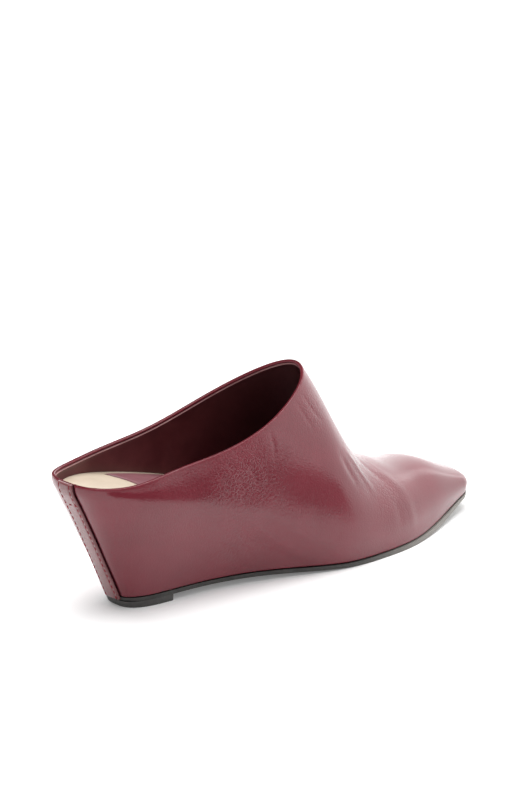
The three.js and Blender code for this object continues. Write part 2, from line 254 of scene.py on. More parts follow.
def side_lines(side, level, ends):
    turn = (1 - np.cos(np.linspace(0, np.pi, FINE_SAMPLES + 1))) / 2
    share = ends[:, None] * turn[None]
    return skin(share, side, level(share))


def loops(level, count, ribs=SIDE_RIBS):
    """Closed loops round the skin: back seam, right side, ridge, left side."""
    ends = crossing(lambda share: crown_height(share) - level(share), count)
    right = resampled(side_lines("right", level, ends), ribs)
    left = resampled(side_lines("left", level, ends), ribs)
    return np.concatenate([right, left[:, -2:0:-1]], axis=1)


def seams(level, count, half_width, cells):
    """Short open lines across the back seam, from the left to the right."""
    ends = crossing(lambda share: crown_height(share) - level(share), count)
    right = resampled(side_lines("right", level, ends), cells, half_width)
    left = resampled(side_lines("left", level, ends), cells, half_width)
    return np.concatenate([left[:, :0:-1], right], axis=1)


def bays(level, count, x, ribs):
    """Open lines round the back, between the points at one x on the left and on the right."""
    ends = crossing(lambda share: x - skin(share, "right", level(share))[..., 0], count)
    right = resampled(side_lines("right", level, ends), ribs)
    left = resampled(side_lines("left", level, ends), ribs)
    return np.concatenate([left[:, :0:-1], right], axis=1)


def with_normals(curves, level, count, closed=True):
    """The lines at a level, and the skin's outward normals along them."""
    points = curves(level, count)
    above = curves(lambda share: level(share) + PROBE, count)
    below = curves(lambda share: level(share) - PROBE, count)
    if closed:
        along = np.roll(points, -1, axis=1) - np.roll(points, 1, axis=1)
    else:
        along = np.gradient(points, axis=1)
    return points, unit(np.cross(along, above - below))


def inside_at_height(points, normals, distance):
    flat = normals * (1, 1, 0)
    return points - flat * distance / np.maximum((flat ** 2).sum(-1, keepdims=True), TINY)


def height_by_x(level):
    """A height by share, turned into a height by x along the shoe."""
    share = np.linspace(0, 1, HEIGHT_SAMPLES)
    height = level(share)
    x = share * LENGTH + slant_shift(share * LENGTH, height)
    return lambda at: np.interp(at, x, height)


# ---------------------------------------------------------------- closed meshes

class Shape:
    """Collects the points, faces and marks of one closed piece, in millimetres."""

    def __init__(self):
        self.points = []
        self.faces = []
        self.finish = []

    def add(self, points):
        points = np.asarray(points, float).reshape(-1, 3)
        start = sum(len(block) for block in self.points)
        self.points.append(points)
        return start + np.arange(len(points))

    def band(self, lower, upper, closed=False, finish=0):
        """Faces between two rows; they look along the row crossed with the step up."""
        here, there = np.arange(len(lower)), np.roll(np.arange(len(lower)), -1)
        if not closed:
            here, there = here[:-1], there[:-1]
        quads = np.stack([lower[here], lower[there], upper[there], upper[here]], -1)
        self.faces.append(quads)
        self.finish.append(np.full(len(quads), finish))

    def sheet(self, rows):
        for lower, upper in zip(rows[:-1], rows[1:]):
            self.band(lower, upper)

    def plate(self, over, under):
        """Closes the space between two sheets of equal rows, the first of them outward."""
        self.sheet(over)
        self.sheet(under[::-1])
        self.sheet([under[0], over[0]])
        self.sheet([over[-1], under[-1]])
        first = [np.array([row[0] for row in rows]) for rows in (over, under)]
        final = [np.array([row[-1] for row in rows]) for rows in (over, under)]
        self.sheet(first)
        self.sheet(final[::-1])

    def piece(self, name, materials, shift, attributes=None):
        points = (np.concatenate(self.points) + shift) * MM
        mesh = bpy.data.meshes.new(name)
        faces = [list(dict.fromkeys(face)) for face in np.concatenate(self.faces).tolist()]
        finish = np.concatenate(self.finish)
        kept = [i for i, face in enumerate(faces) if len(face) > 2]
        mesh.from_pydata(points.tolist(), [], [faces[i] for i in kept])
        for material in materials:
            mesh.materials.append(material)
        mesh.polygons.foreach_set("material_index", finish[kept].astype(np.int32))
        mesh.polygons.foreach_set("use_smooth", np.ones(len(kept), bool))
        for label, values in (attributes or {}).items():
            stored = mesh.attributes.new(label, "FLOAT", "POINT")
            stored.data.foreach_set("value", values.astype(np.float32))
        mesh.update()
        made = bpy.data.objects.new(name, mesh)
        bpy.context.scene.collection.objects.link(made)
        return made


def dress(piece, slot, *nodes):
    """The piece rides on the shoe and stands for the solids named, which it hides; the finish slot is
    not used.
    """
    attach(piece, "root")
    if nodes:
        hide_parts(*nodes)


def bevelled(piece, width):
    bevel = piece.modifiers.new("softened_edges", "BEVEL")
    bevel.width = width * MM
    bevel.segments = BEVEL_SEGMENTS
    bevel.limit_method = "ANGLE"
    bevel.angle_limit = math.radians(BEVEL_ANGLE)
    return piece


# ---------------------------------------------------------------- creases of the leather

# Each crease: points in millimetres near the skin, its depth (a ridge when negative) and its width
CREASES = [
    # the long soft ridge over the side, and the lower one that runs out at the ball
    ([(13.3, -21.0, 58.9), (28.1, -24.3, 54.3), (46.3, -25.4, 50.0), (66.0, -26.7, 44.7),
      (87.7, -29.1, 37.3), (104.2, -31.0, 25.3)], -0.35, 6.0),
    ([(69.8, -26.4, 37.7), (83.4, -27.0, 31.2), (97.8, -27.4, 21.5), (109.6, -28.9, 13.8),
      (119.9, -30.5, 7.5)], -0.45, 3.2),
    ([(76.0, -24.7, 28.4), (88.6, -24.2, 20.8), (100.1, -24.8, 13.5), (110.0, -26.5, 7.7)], 0.35, 3.5),
    # short creases under the topline
    ([(94.9, -26.5, 71.7), (96.0, -27.6, 66.3), (95.6, -28.6, 60.1)], 0.24, 1.1),
    ([(68.9, -26.0, 62.9), (74.9, -27.3, 56.1), (78.4, -28.0, 48.0)], 0.14, 1.1),
    ([(77.9, -27.0, 61.8), (83.1, -28.1, 55.8), (85.9, -28.8, 47.6)], 0.15, 1.1),
    ([(62.8, -25.7, 60.8), (68.2, -26.7, 54.4), (70.6, -27.1, 48.0)], 0.12, 1.1),
    ([(88.1, -28.2, 59.5), (90.7, -28.9, 54.2), (90.9, -29.4, 47.7)], 0.11, 1.1),
    # the side of the instep
    ([(120.2, -20.4, 83.3), (124.1, -22.2, 76.9), (129.2, -23.6, 70.5)], 0.22, 1.1),
    ([(114.4, -22.6, 80.8), (118.4, -24.3, 74.4), (122.3, -26.1, 67.5)], 0.18, 1.1),
    # the break over the toes
    ([(143.6, -24.9, 54.0), (149.0, -25.7, 46.4), (154.5, -27.7, 37.8),
      (158.1, -29.7, 31.6)], -0.45, 1.8),
    ([(137.5, -28.0, 53.7), (141.1, -29.8, 46.1), (146.2, -31.5, 37.1)], 0.40, 2.0),
    ([(157.3, -18.6, 46.2), (163.8, -19.7, 40.0), (170.0, -23.1, 33.6)], 0.35, 1.8),
    ([(169.2, -14.9, 40.2), (175.0, -19.4, 34.6), (180.8, -24.6, 27.7),
      (183.3, -27.7, 22.4)], -0.26, 3.0),
    ([(182.6, -27.8, 22.6), (183.0, -30.4, 16.6), (184.8, -30.9, 8.7)], -0.26, 3.2),
    ([(174.3, -28.4, 25.5), (173.2, -31.7, 19.6), (173.9, -33.3, 11.3)], 0.25, 3.0),
    # faint ones low on the side
    ([(66.1, -22.3, 26.3), (76.9, -20.8, 18.3), (85.2, -19.1, 9.1)], 0.14, 1.1),
    ([(74.1, -23.4, 25.8), (84.3, -22.3, 18.4), (91.9, -21.1, 10.2)], 0.14, 1.1),
    # their like on the inner side and over the vamp
    ([(146.0, 24.0, 54.0), (151.0, 26.0, 45.0), (157.0, 28.0, 36.0)], 0.40, 2.0),
    ([(152.0, 22.0, 52.0), (158.0, 24.5, 43.0), (163.0, 27.0, 34.0)], -0.40, 1.8),
    ([(150.0, -6.0, 55.0), (151.5, 4.0, 55.0), (151.0, 13.0, 53.0)], 0.30, 2.0),
    ([(78.0, 30.0, 62.0), (84.0, 31.0, 54.0), (88.0, 31.0, 45.0)], 0.22, 1.1),
    ([(90.0, 30.0, 66.0), (95.0, 31.0, 58.0), (97.0, 32.0, 50.0)], 0.22, 1.1),
]
# Where the fine crinkle shows: middle, reach and strength
CRINKLED = [
    ((79.1, -27.8, 54.5), 17.0, 0.85), ((123.8, -22.5, 76.4), 10.0, 0.75),
    ((168.7, -27.0, 28.7), 15.0, 0.75), ((150.1, -26.7, 43.5), 9.0, 0.6),
    ((79.4, -20.8, 17.2), 16.0, 0.5), ((84.0, 30.0, 54.0), 18.0, 0.9),
    ((160.0, 24.0, 36.0), 15.0, 0.8), ((150.0, 2.0, 55.0), 10.0, 0.5),
    ((20.0, 24.0, 30.0), 18.0, 0.4),
]
EVEN_CRINKLE, FULL_CRINKLE = 0.1, 1.1
STRIP_CRINKLE = 0.3
CREASE_END = 0.03

UNEVEN_SIZE = 17.0
UNEVEN_DEPTH = 0.16
COLLAR_FADE = 5.0
FOOT_FADE = 3.0
SEAM_GAP, SEAM_GAP_WIDTH, SEAM_GAP_DEPTH, SEAM_REACH = 0.35, 0.6, 0.35, 4.0


def distance_to_line(points, line):
    """Shortest distance from each point to a polyline, and how far along it, from 0 to 1."""
    line = np.asarray(line, float)
    best = np.full(len(points), np.inf)
    along = np.zeros(len(points))
    steps = np.linalg.norm(np.diff(line, axis=0), axis=1)
    run = np.concatenate([[0], np.cumsum(steps)])
    for i, (start, end) in enumerate(zip(line[:-1], line[1:])):
        way = end - start
        t = np.clip((points - start) @ way / (way @ way), 0, 1)
        away = np.linalg.norm(points - start - t[:, None] * way, axis=1)
        nearer = away < best
        best = np.where(nearer, away, best)
        along = np.where(nearer, (run[i] + t * steps[i]) / run[-1], along)
    return best, along


def crease_depth(points):
    """How far the leather stands out or sinks in at points of the skin."""
    depth = np.zeros(len(points))
    for line, height, width in CREASES:
        away, along = distance_to_line(points, line)
        ends = np.sqrt(np.sin(np.clip(along, CREASE_END, 1 - CREASE_END) * np.pi))
        depth -= height * ends * np.exp(-(away / width) ** 2)
    for i, point in enumerate(points):
        depth[i] += UNEVEN_DEPTH * noise.noise(Vector(point) / UNEVEN_SIZE)
    return depth


def seam_shade(points):
    """The painted shadow along the gap beside the back strip, from 0 to 1."""
    back = points[:, 0] < slant_shift(np.zeros(len(points)), points[:, 2]) + SEAM_REACH
    centre = BALL_WIDTH * TABLE[0, COLUMNS.index("centre")]
    beside = np.abs(np.abs(points[:, 1] - centre) - STRIP_WIDTH / 2 - SEAM_GAP / 2)
    return back * np.exp(-(beside / SEAM_GAP_WIDTH) ** 2)


def crinkle_marks(points):
    """How strongly the fine crinkle shows at points of the skin."""
    marks = np.full(len(points), EVEN_CRINKLE)
    for middle, reach, strength in CRINKLED:
        away = np.linalg.norm(points - np.array(middle), axis=1)
        marks += strength * np.exp(-(away / reach) ** 2)
    return np.minimum(marks, FULL_CRINKLE)


# ---------------------------------------------------------------- the upper

# The finishes of the upper, in the order of its materials
LEATHER, LINING_EDGE, LINING, GROOVE_SHADE, RIM = range(5)
FOLD_RADIUS = WALL / 2
FOLD_STEPS = 8
# The steps of the fold, counted from outside, that take the rim's finish
RIM_STEPS = (2, 5)
FOOT_ROUND, FOOT_CORNER = 0.6, 0.17
OUTER_LOOPS = 110
LINING_LOOPS = 42
LOOP_POWER = 1.25
# The way down inside the topline: drop below the collar, inward offset, and the finish down to there;
# the groove rows take a near-black painted shade
TURNED_IN = [
    (1.15, 1.80, LEATHER), (1.30, 1.62, GROOVE_SHADE), (1.42, 1.30, GROOVE_SHADE), (1.78, 1.30, GROOVE_SHADE),
    (1.86, 1.78, LINING_EDGE), (1.98, 1.92, LINING_EDGE), (2.16, 1.94, LINING_EDGE),
    (2.34, 1.86, LINING), (2.54, 1.80, LINING),
]


def make_upper():
    """One shell: skin, folded topline, groove, lining edge and lining, closed at the sole."""
    t = np.linspace(0, 1, OUTER_LOOPS)
    part = t ** LOOP_POWER
    outer_level = levels(part, mix(-FOOT_ROUND, FOLD_RADIUS, t))
    outer, outer_normals = with_normals(loops, outer_level, OUTER_LOOPS)
    drops = np.array([row[0] for row in TURNED_IN])
    turned, turned_normals = with_normals(loops, levels(np.ones(len(drops)), drops), len(drops))
    back = np.linspace(1, 0, LINING_LOOPS)[1:]
    lining_level = levels(back ** LOOP_POWER, mix(-FOOT_ROUND, drops[-1], back))
    inner, inner_normals = with_normals(loops, lining_level, len(back))
    foot, foot_normals = with_normals(loops, levels([0.0], [0.0]), 1)

    def depth_of(points):
        flat = points.reshape(-1, 3)
        share = np.clip(flat[:, 0] / LENGTH, 0, 1)
        below_collar = np.clip((collar_height(share) - flat[:, 2]) / COLLAR_FADE, 0, 1)
        over_foot = np.clip((flat[:, 2] - feather_height(share)) / FOOT_FADE, 0, 1)
        depth = crease_depth(flat) * smooth(below_collar) * smooth(over_foot)
        return depth.reshape(points.shape[:-1] + (1,))

    beside = np.abs(np.linalg.norm(outer - outer[:, :1], axis=-1) - STRIP_WIDTH / 2 - SEAM_GAP)
    seam = np.exp(-(beside / SEAM_GAP_WIDTH) ** 2)
    outer = outer + outer_normals * (depth_of(outer) - SEAM_GAP_DEPTH * seam[..., None])
    inner = inner + inner_normals * (depth_of(inner) - WALL)
    offsets = np.array([row[1] for row in TURNED_IN])[:, None, None]
    turned = turned - turned_normals * offsets

    shape = Shape()
    rings = [shape.add(ring) for ring in outer]
    top, normal = outer[-1], outer_normals[-1]
    rise = unit(np.cross(normal, np.roll(top, -1, axis=0) - np.roll(top, 1, axis=0)))
    centre = top - normal * FOLD_RADIUS
    for turn in np.linspace(0, np.pi, FOLD_STEPS + 1)[1:]:
        rings.append(shape.add(centre + (normal * np.cos(turn) + rise * np.sin(turn)) * FOLD_RADIUS))
    finish = [LEATHER] * (len(rings) - 1)
    for turn in range(*RIM_STEPS):
        finish[OUTER_LOOPS - 1 + turn] = RIM
    for ring, (_, _, mark) in zip(turned, TURNED_IN):
        rings.append(shape.add(ring))
        finish.append(mark)
    for ring in inner:
        rings.append(shape.add(ring))
        finish.append(LINING)
    foot_steps = ((WALL, 0, LINING), (FOOT_ROUND, 0, LEATHER), (FOOT_CORNER, FOOT_CORNER, LEATHER))
    for inset, lifted, mark in foot_steps:
        ring = inside_at_height(foot[0], foot_normals[0], inset)
        rings.append(shape.add(ring + (0, 0, lifted)))
        finish.append(mark)
    for lower, upper, mark in zip(rings, rings[1:] + rings[:1], finish + [LEATHER]):
        shape.band(lower, upper, closed=True, finish=mark)
    return shape


# ---------------------------------------------------------------- the strip over the back seam

STRIP_LIFT = 0.05
STRIP_EDGE, STRIP_EDGE_SHARE = 0.45, 0.35
STRIP_CELLS = 16
STRIP_ROWS = 130
SEAM_INSET = 1.15
SEAM_WIDTH = 0.45
SEAM_DEPTH = 0.18


def make_back_strip():
    """The strip with its line on the skin, the normals, its height and the distance along it."""
    half = STRIP_WIDTH / 2
    part = np.linspace(0, 1, STRIP_ROWS)

    def curves(level, count):
        return seams(level, count, half, STRIP_CELLS)

    def level(share):
        at = part[:, None] if share.ndim > 1 else part
        return mix(lowest_sole(share) + STRIP_FOOT, collar_height(share), at)

    line, normals = with_normals(curves, level, STRIP_ROWS, closed=False)
    across = np.linspace(-half, half, 2 * STRIP_CELLS + 1)
    steps = np.linalg.norm(np.diff(line[:, STRIP_CELLS], axis=0), axis=1)
    run = np.concatenate([[0], np.cumsum(steps)])
    from_side = half - np.abs(across)
    from_end = np.minimum(run, run[-1] - run)
    near = np.minimum(from_side[None, :], from_end[:, None])
    round_off = np.sqrt(1 - np.clip(1 - near / STRIP_EDGE, 0, 1) ** 2)
    seam = SEAM_DEPTH * np.exp(-((from_side - SEAM_INSET) / SEAM_WIDTH) ** 2)
    full = STRIP_THICKNESS + GAP - STRIP_LIFT
    thickness = full * mix(STRIP_EDGE_SHARE, 1, round_off) - seam[None]
    shape = Shape()
    under = [shape.add(row) for row in line + normals * STRIP_LIFT]
    over = [shape.add(row) for row in line + normals * (STRIP_LIFT + thickness[..., None])]
    shape.plate(over, under)
    return shape, line, normals, thickness + STRIP_LIFT, run


# ---------------------------------------------------------------- insole, panel, sole and lift

CROSS_CELLS = 30


def chains_of(outline, closed):
    """The right and the left chain of an outline, both from the back seam forward."""
    if closed:
        half = len(outline) // 2
        return outline[:half + 1], np.concatenate([outline[:1], outline[:half - 1:-1]])
    middle = (len(outline) - 1) // 2
    return outline[middle:], outline[middle::-1]


def make_stack(outlines, top_height, low_height, closed):
    """Fills a stack of outlines, lowest first; an open stack gets a flat front."""
    shape = Shape()
    rings = [shape.add(outline) for outline in outlines]

    def across(ring, outline, height):
        right, left = chains_of(ring, closed)
        right_points, left_points = chains_of(outline, closed)
        rows = []
        for k in range(len(right)):
            if right[k] == left[k]:
                rows.append(np.full(CROSS_CELLS + 1, right[k]))
                continue
            steps = np.linspace(0, 1, CROSS_CELLS + 1)[1:-1, None]
            inside = mix(right_points[k], left_points[k], steps)
            inside[:, 2] = height(inside[:, 0])
            rows.append(np.concatenate([[right[k]], shape.add(inside), [left[k]]]))
        return rows

    low = across(rings[0], outlines[0], low_height)
    top = across(rings[-1], outlines[-1], top_height)
    shape.sheet(top[::-1])
    shape.sheet(low)
    for lower, upper in zip(rings[:-1], rings[1:]):
        shape.band(lower, upper, closed=closed)
    if not closed:
        shape.sheet([low[-1], top[-1]])
    return shape


def raised(level, by):
    return lambda share: level(share) + by


def ring_inside(level, distance, closed=True, front=None):
    """One outline at a level, inside the skin by a distance that may depend on the place."""
    def curves(at, count):
        return loops(at, count, RING_RIBS) if closed else bays(at, count, front, RING_RIBS)

    points, normals = with_normals(curves, level, 1, closed)
    inset = distance(points[0]) if callable(distance) else distance
    return inside_at_height(points[0], normals[0], inset)


def make_insole():
    low = raised(seat_height, -INSOLE_THICKNESS)
    outlines = [ring_inside(level, WALL + GAP) for level in (low, seat_height)]
    return make_stack(outlines, height_by_x(seat_height), height_by_x(low), True)


PANEL_ROWS = 110
PANEL_CELLS = 36
PANEL_EDGE, PANEL_EDGE_SHARE = 0.5, 0.3
PANEL_LIFT = 0.06


def make_sock_panel():
    """The coloured front of the sock, let in ahead of the heel pad."""
    right, left = chains_of(ring_inside(seat_height, WALL + GAP), True)
    top = height_by_x(seat_height)
    across = np.linspace(0, 1, PANEL_CELLS + 1)[None]
    ahead = np.linspace(0, 1, PANEL_ROWS + 1)[:, None]
    bow = 1 - (2 * across - 1) ** 2
    start = PANEL_START + mix(*PANEL_TILT, across) + PANEL_BULGE * bow
    end = LENGTH - PANEL_TOE_CLEARANCE + PANEL_TOE_BULGE * bow
    x = mix(start, end, ahead)
    right_y = np.interp(x, right[:, 0], right[:, 1]) + PANEL_MARGIN
    left_y = np.interp(x, left[:, 0], left[:, 1]) - PANEL_MARGIN
    y = mix(right_y, left_y, across)
    near = np.minimum(np.minimum(y - right_y, left_y - y), np.minimum(x - x[:1], x[-1:] - x))
    round_off = np.sqrt(1 - np.clip(1 - near / PANEL_EDGE, 0, 1) ** 2)
    low = np.stack([x, y, top(x) + PANEL_LIFT], -1)
    high = low + np.stack([0 * x, 0 * x, PANEL_THICKNESS * mix(PANEL_EDGE_SHARE, 1, round_off)], -1)
    shape = Shape()
    under = [shape.add(row) for row in low[::-1]]
    over = [shape.add(row) for row in high[::-1]]
    shape.plate(over, under)
    return shape


def make_outsole():
    """The thin sole; its edge stands a little further out beside the ball of the foot."""
    top = raised(feather_height, -GAP)

    def reach(points):
        share = np.clip(points[:, :1] / LENGTH, 0, 1)
        return SOLE_REACH * np.sin(np.pi * share ** SOLE_REACH_POWER)

    outlines = [ring_inside(lowest_sole, lambda points: SOLE_TAPER - reach(points)),
                ring_inside(top, lambda points: -reach(points) / 2)]
    return make_stack(outlines, height_by_x(top), height_by_x(lowest_sole), True)


def on_floor(share):
    return 0 * share


def make_top_lift():
    """The wearing piece under the heel, flat in front, drawn back a little behind."""
    top = raised(lowest_sole, -LIFT_GAP)
    front = skin(np.zeros(1), "right", np.zeros(1))[0, 0] + LIFT_LENGTH
    rings = [ring_inside(level, SOLE_TAPER, False, front) for level in (on_floor, top)]
    for ring in rings:
        ring[:, 0] = mix(front, ring[:, 0], (LIFT_LENGTH + LIFT_BACK) / LIFT_LENGTH)
    return make_stack(rings, height_by_x(top), on_floor, False)


# ---------------------------------------------------------------- stitches on the strip

STITCH_PITCH = 3.0
STITCH_LENGTH = 2.1
STITCH_WIDTH = 0.75
STITCH_HEIGHT = 0.6
# The same in metres, for the nodes, and how much single stitches differ
STITCH_SIZE = (STITCH_LENGTH * MM, STITCH_WIDTH * MM, STITCH_HEIGHT * MM)
STITCH_SHARES = (0.88, 1.06)
STITCH_SEED = 7
BEAD_SEGMENTS, BEAD_RINGS, BEAD_RADIUS = 10, 6, 0.5
SEAM_END = 1.2
CROSS_SEAM_DROP = 10.5


def stitch_tree(material):
    """Places a stitch at equal steps along seam lines, standing on the leather."""
    tree = bpy.data.node_groups.new("strip_seams", "GeometryNodeTree")
    sockets = {}
    wanted = (("Seam lines", "NodeSocketGeometry", None),
              ("Pitch", "NodeSocketFloat", STITCH_PITCH * MM),
              ("Stitch size", "NodeSocketVector", STITCH_SIZE),
              ("Seed", "NodeSocketInt", STITCH_SEED))
    for label, kind, default in wanted:
        sockets[label] = tree.interface.new_socket(label, in_out="INPUT", socket_type=kind)
        if default is not None:
            sockets[label].default_value = default
    tree.interface.new_socket("Stitches", in_out="OUTPUT", socket_type="NodeSocketGeometry")
    nodes = tree.nodes
    given, result = nodes.new("NodeGroupInput"), nodes.new("NodeGroupOutput")
    line = nodes.new("GeometryNodeMeshToCurve")
    steps = nodes.new("GeometryNodeResampleCurve")
    steps.mode = "LENGTH"
    tangent = nodes.new("GeometryNodeInputTangent")
    facing = nodes.new("GeometryNodeInputNamedAttribute")
    facing.data_type = "FLOAT_VECTOR"
    facing.inputs["Name"].default_value = "facing"
    stand = nodes.new("FunctionNodeAlignRotationToVector")
    stand.axis = "Z"
    follow = nodes.new("FunctionNodeAlignRotationToVector")
    follow.axis, follow.pivot_axis = "X", "Z"
    bead = nodes.new("GeometryNodeMeshUVSphere")
    bead.inputs["Segments"].default_value = BEAD_SEGMENTS
    bead.inputs["Rings"].default_value = BEAD_RINGS
    bead.inputs["Radius"].default_value = BEAD_RADIUS
    sized = nodes.new("GeometryNodeTransform")
    vary = nodes.new("FunctionNodeRandomValue")
    vary.data_type = "FLOAT"
    vary.inputs[2].default_value, vary.inputs[3].default_value = STITCH_SHARES
    placed = nodes.new("GeometryNodeInstanceOnPoints")
    real = nodes.new("GeometryNodeRealizeInstances")
    thread = nodes.new("GeometryNodeSetMaterial")
    thread.inputs["Material"].default_value = material
    joined = (
        (given, "Seam lines", line, "Mesh"), (line, "Curve", steps, "Curve"),
        (given, "Pitch", steps, "Length"),
        (facing, "Attribute", stand, "Vector"), (stand, "Rotation", follow, "Rotation"),
        (tangent, "Tangent", follow, "Vector"), (bead, "Mesh", sized, "Geometry"),
        (given, "Stitch size", sized, "Scale"), (given, "Seed", vary, "Seed"),
        (steps, "Curve", placed, "Points"), (sized, "Geometry", placed, "Instance"),
        (follow, "Rotation", placed, "Rotation"), (vary, 1, placed, "Scale"),
        (placed, "Instances", real, "Geometry"), (real, "Geometry", thread, "Geometry"),
        (thread, "Geometry", result, "Stitches"),
    )
    for source, output, target, entry in joined:
        tree.links.new(source.outputs[output], target.inputs[entry])
    return tree, sockets


def across_at(place, across, rows):
    """The point of each row at one place across the strip."""
    return np.stack([[np.interp(place, across, row[:, k]) for k in range(3)] for row in rows])


def make_stitches(line, normals, height, run, shift, material):
    """Two rows of thread along the strip's sides and one short row across it near the top."""
    rows = []
    half = STRIP_WIDTH / 2
    across = np.linspace(-half, half, line.shape[1])
    surface = line + normals * height[..., None]
    inside = (run > SEAM_END) & (run < run[-1] - SEAM_END)
    for place in (SEAM_INSET - half, half - SEAM_INSET):
        facing = across_at(place, across, normals[inside])
        rows.append((across_at(place, across, surface[inside]), unit(facing)))
    at = np.argmin(np.abs(run[-1] - run - CROSS_SEAM_DROP))
    span = np.abs(across) <= half - SEAM_INSET
    rows.append((surface[at][span], normals[at][span]))
    points, facing, edges = [], [], []
    for row_points, row_facing in rows:
        start = len(points)
        points.extend(((row_points + shift) * MM).tolist())
        facing.extend(row_facing.tolist())
        edges.extend([(i, i + 1) for i in range(start, start + len(row_points) - 1)])
    mesh = bpy.data.meshes.new("seam_lines")
    mesh.from_pydata(points, edges, [])
    stored = mesh.attributes.new("facing", "FLOAT_VECTOR", "POINT")
    stored.data.foreach_set("vector", np.asarray(facing, np.float32).ravel())
    lines = bpy.data.objects.new("seam_lines", mesh)
    bpy.context.scene.collection.objects.link(lines)
    tree, sockets = stitch_tree(material)
    sewing = lines.modifiers.new("sewing", "NODES")
    sewing.node_group = tree
    sewing[sockets["Pitch"].identifier] = STITCH_PITCH * MM
    sewing[sockets["Stitch size"].identifier] = STITCH_SIZE
    sewing[sockets["Seed"].identifier] = STITCH_SEED
    bpy.context.view_layer.update()
    made = bpy.data.meshes.new_from_object(lines.evaluated_get(bpy.context.evaluated_depsgraph_get()))
    made.polygons.foreach_set("use_smooth", np.ones(len(made.polygons), bool))
    bpy.data.objects.remove(lines)
    stitches = bpy.data.objects.new("strip_stitches", made)
    bpy.context.scene.collection.objects.link(stitches)
    return stitches


# ---------------------------------------------------------------- finishes

# The glossy leather, sizes and depths in millimetres
CLOUD_SIZE, FLECK_SIZE, FLECK_STRENGTH = 26, 2.6, 0.12
GLOSS_ROUGHNESS = (0.34, 0.48)
# Near-black painted shadow in the gap beside the back strip
SEAM_SHADOW_COLOUR = (0.008, 0.002, 0.003)
WANDER, WANDER_SIZE = 2.6, 7
FOLD_CELLS, FINE_CELLS, FOLD_SHARE = 2.2, 1.2, 0.65
FOLD_EDGE, FINE_EDGE = 0.14, 0.22
GRAIN_CELLS = 0.8
CRINKLE_DEPTH, GRAIN_DEPTH = 0.12, 0.025
# Where the lining darkens with painted shade towards the toe and the sole's edge turns paler, along the
# shoe in metres
LINING_SHADE_FROM_TO = (-0.05, 0.02)
PALE_FROM_TO = (0.0, 0.09)
SATIN_COAT, SATIN_COAT_ROUGHNESS = 0.16, 0.35
CORK_PALE, CORK_DARK = (0.42, 0.28, 0.16), (0.2, 0.12, 0.06)


class Finish:
    """One material under construction, with short ways to add and join its nodes."""

    def __init__(self, name, roughness, coat=0.0, coat_roughness=0.1):
        self.material = bpy.data.materials.new(name)
        self.material.use_nodes = True
        self.tree = self.material.node_tree
        self.shader = self.tree.nodes["Principled BSDF"]
        self.shader.inputs["Roughness"].default_value = roughness
        self.shader.inputs["Coat Weight"].default_value = coat
        self.shader.inputs["Coat Roughness"].default_value = coat_roughness
        self.place = self.tree.nodes.new("ShaderNodeTexCoord").outputs["Object"]

    def feed(self, socket, value):
        if isinstance(value, bpy.types.NodeSocket):
            self.tree.links.new(value, socket)
        else:
            socket.default_value = value

    def node(self, kind, settings=None, **inputs):
        made = self.tree.nodes.new(kind)
        for key, value in (settings or {}).items():
            setattr(made, key, value)
        for key, value in inputs.items():
            self.feed(made.inputs[key], value)
        return made

    def noise(self, size, detail, output="Fac"):
        made = self.node("ShaderNodeTexNoise", Vector=self.place, Scale=1 / (size * MM), Detail=detail)
        return made.outputs[output]

    def cells(self, size, at=None, feature="DISTANCE_TO_EDGE"):
        made = self.node("ShaderNodeTexVoronoi", {"feature": feature}, Vector=at or self.place,
                         Scale=1 / (size * MM))
        return made.outputs["Distance"]

    def math(self, operation, a, b, kind="ShaderNodeMath"):
        made = self.node(kind, {"operation": operation})
        self.feed(made.inputs[0], a)
        self.feed(made.inputs[1], b)
        return made.outputs[0]

    def scaled(self, value, by):
        return self.math("MULTIPLY", value, by)

    def ahead(self, start, end):
        """Rises from 0 to 1 between two places along the shoe, in metres."""
        along = self.node("ShaderNodeSeparateXYZ", Vector=self.place).outputs["X"]
        return self.span(along, start, end)

    def span(self, value, low, high, to_low=0.0, to_high=1.0):
        made = self.node("ShaderNodeMapRange", {"interpolation_type": "SMOOTHSTEP"}, Value=value)
        made.inputs["From Min"].default_value, made.inputs["From Max"].default_value = low, high
        made.inputs["To Min"].default_value, made.inputs["To Max"].default_value = to_low, to_high
        return made.outputs["Result"]

    def blend(self, share, a, b):
        made = self.node("ShaderNodeMix", {"data_type": "RGBA"})
        self.feed(made.inputs[0], share)
        for socket, value in ((made.inputs[6], a), (made.inputs[7], b)):
            self.feed(socket, value if isinstance(value, bpy.types.NodeSocket) else (*value, 1.0))
        return made.outputs[2]

    def attribute(self, name):
        return self.node("ShaderNodeAttribute", {"attribute_name": name}).outputs["Fac"]

    def colour(self, value):
        self.feed(self.shader.inputs["Base Color"], value)

    def rough(self, value):
        self.feed(self.shader.inputs["Roughness"], value)

    def bumps(self, *reliefs):
        """Stacks reliefs (height, depth in millimetres) into the shader's normal."""
        normal = None
        for height, depth in reliefs:
            made = self.node("ShaderNodeBump", Height=height, Distance=depth * MM, Strength=1.0)
            if normal is not None:
                self.feed(made.inputs["Normal"], normal)
            normal = made.outputs["Normal"]
        self.feed(self.shader.inputs["Normal"], normal)
        self.feed(self.shader.inputs["Coat Normal"], normal)


